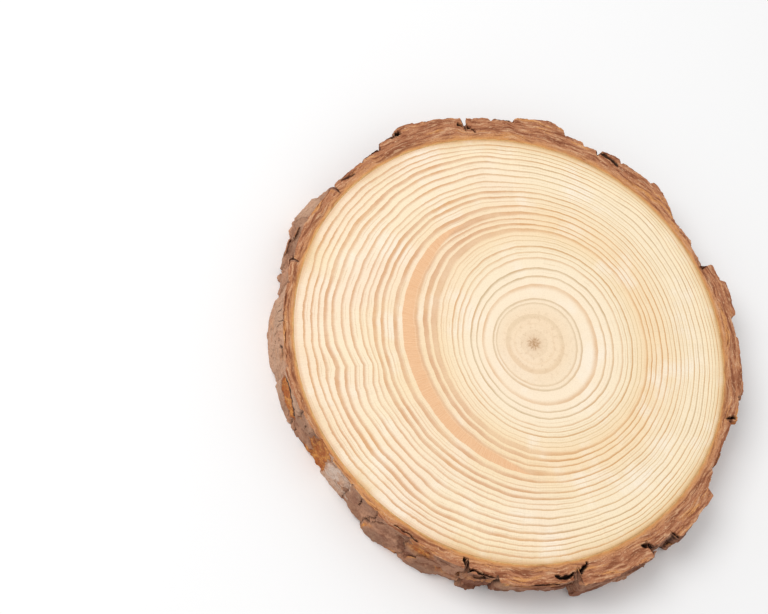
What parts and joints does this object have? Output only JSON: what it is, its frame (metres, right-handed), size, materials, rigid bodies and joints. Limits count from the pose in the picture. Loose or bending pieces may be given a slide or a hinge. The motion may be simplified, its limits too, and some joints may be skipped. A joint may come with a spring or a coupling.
{
  "type": "wood slice",
  "caption": "Round slice sawn across a pine stem, a pale disc of ringed wood inside a ring of scaly brown bark, lying flat.",
  "frame": {"origin": "middle of the lower sawn face's bounding box, on the surface that the slice lies on", "axes": "+Z out of the upper sawn face; +X and +Y across it, with the thickest bark towards +Y"},
  "size_m": [0.2378, 0.2442, 0.024],
  "materials": {
    "wood": "sanded, matt",
    "bark": "rough, scaly"
  },
  "bodies": {
    "root": {"wood": "wood", "bark": "bark"}
  },
  "joints": []
}
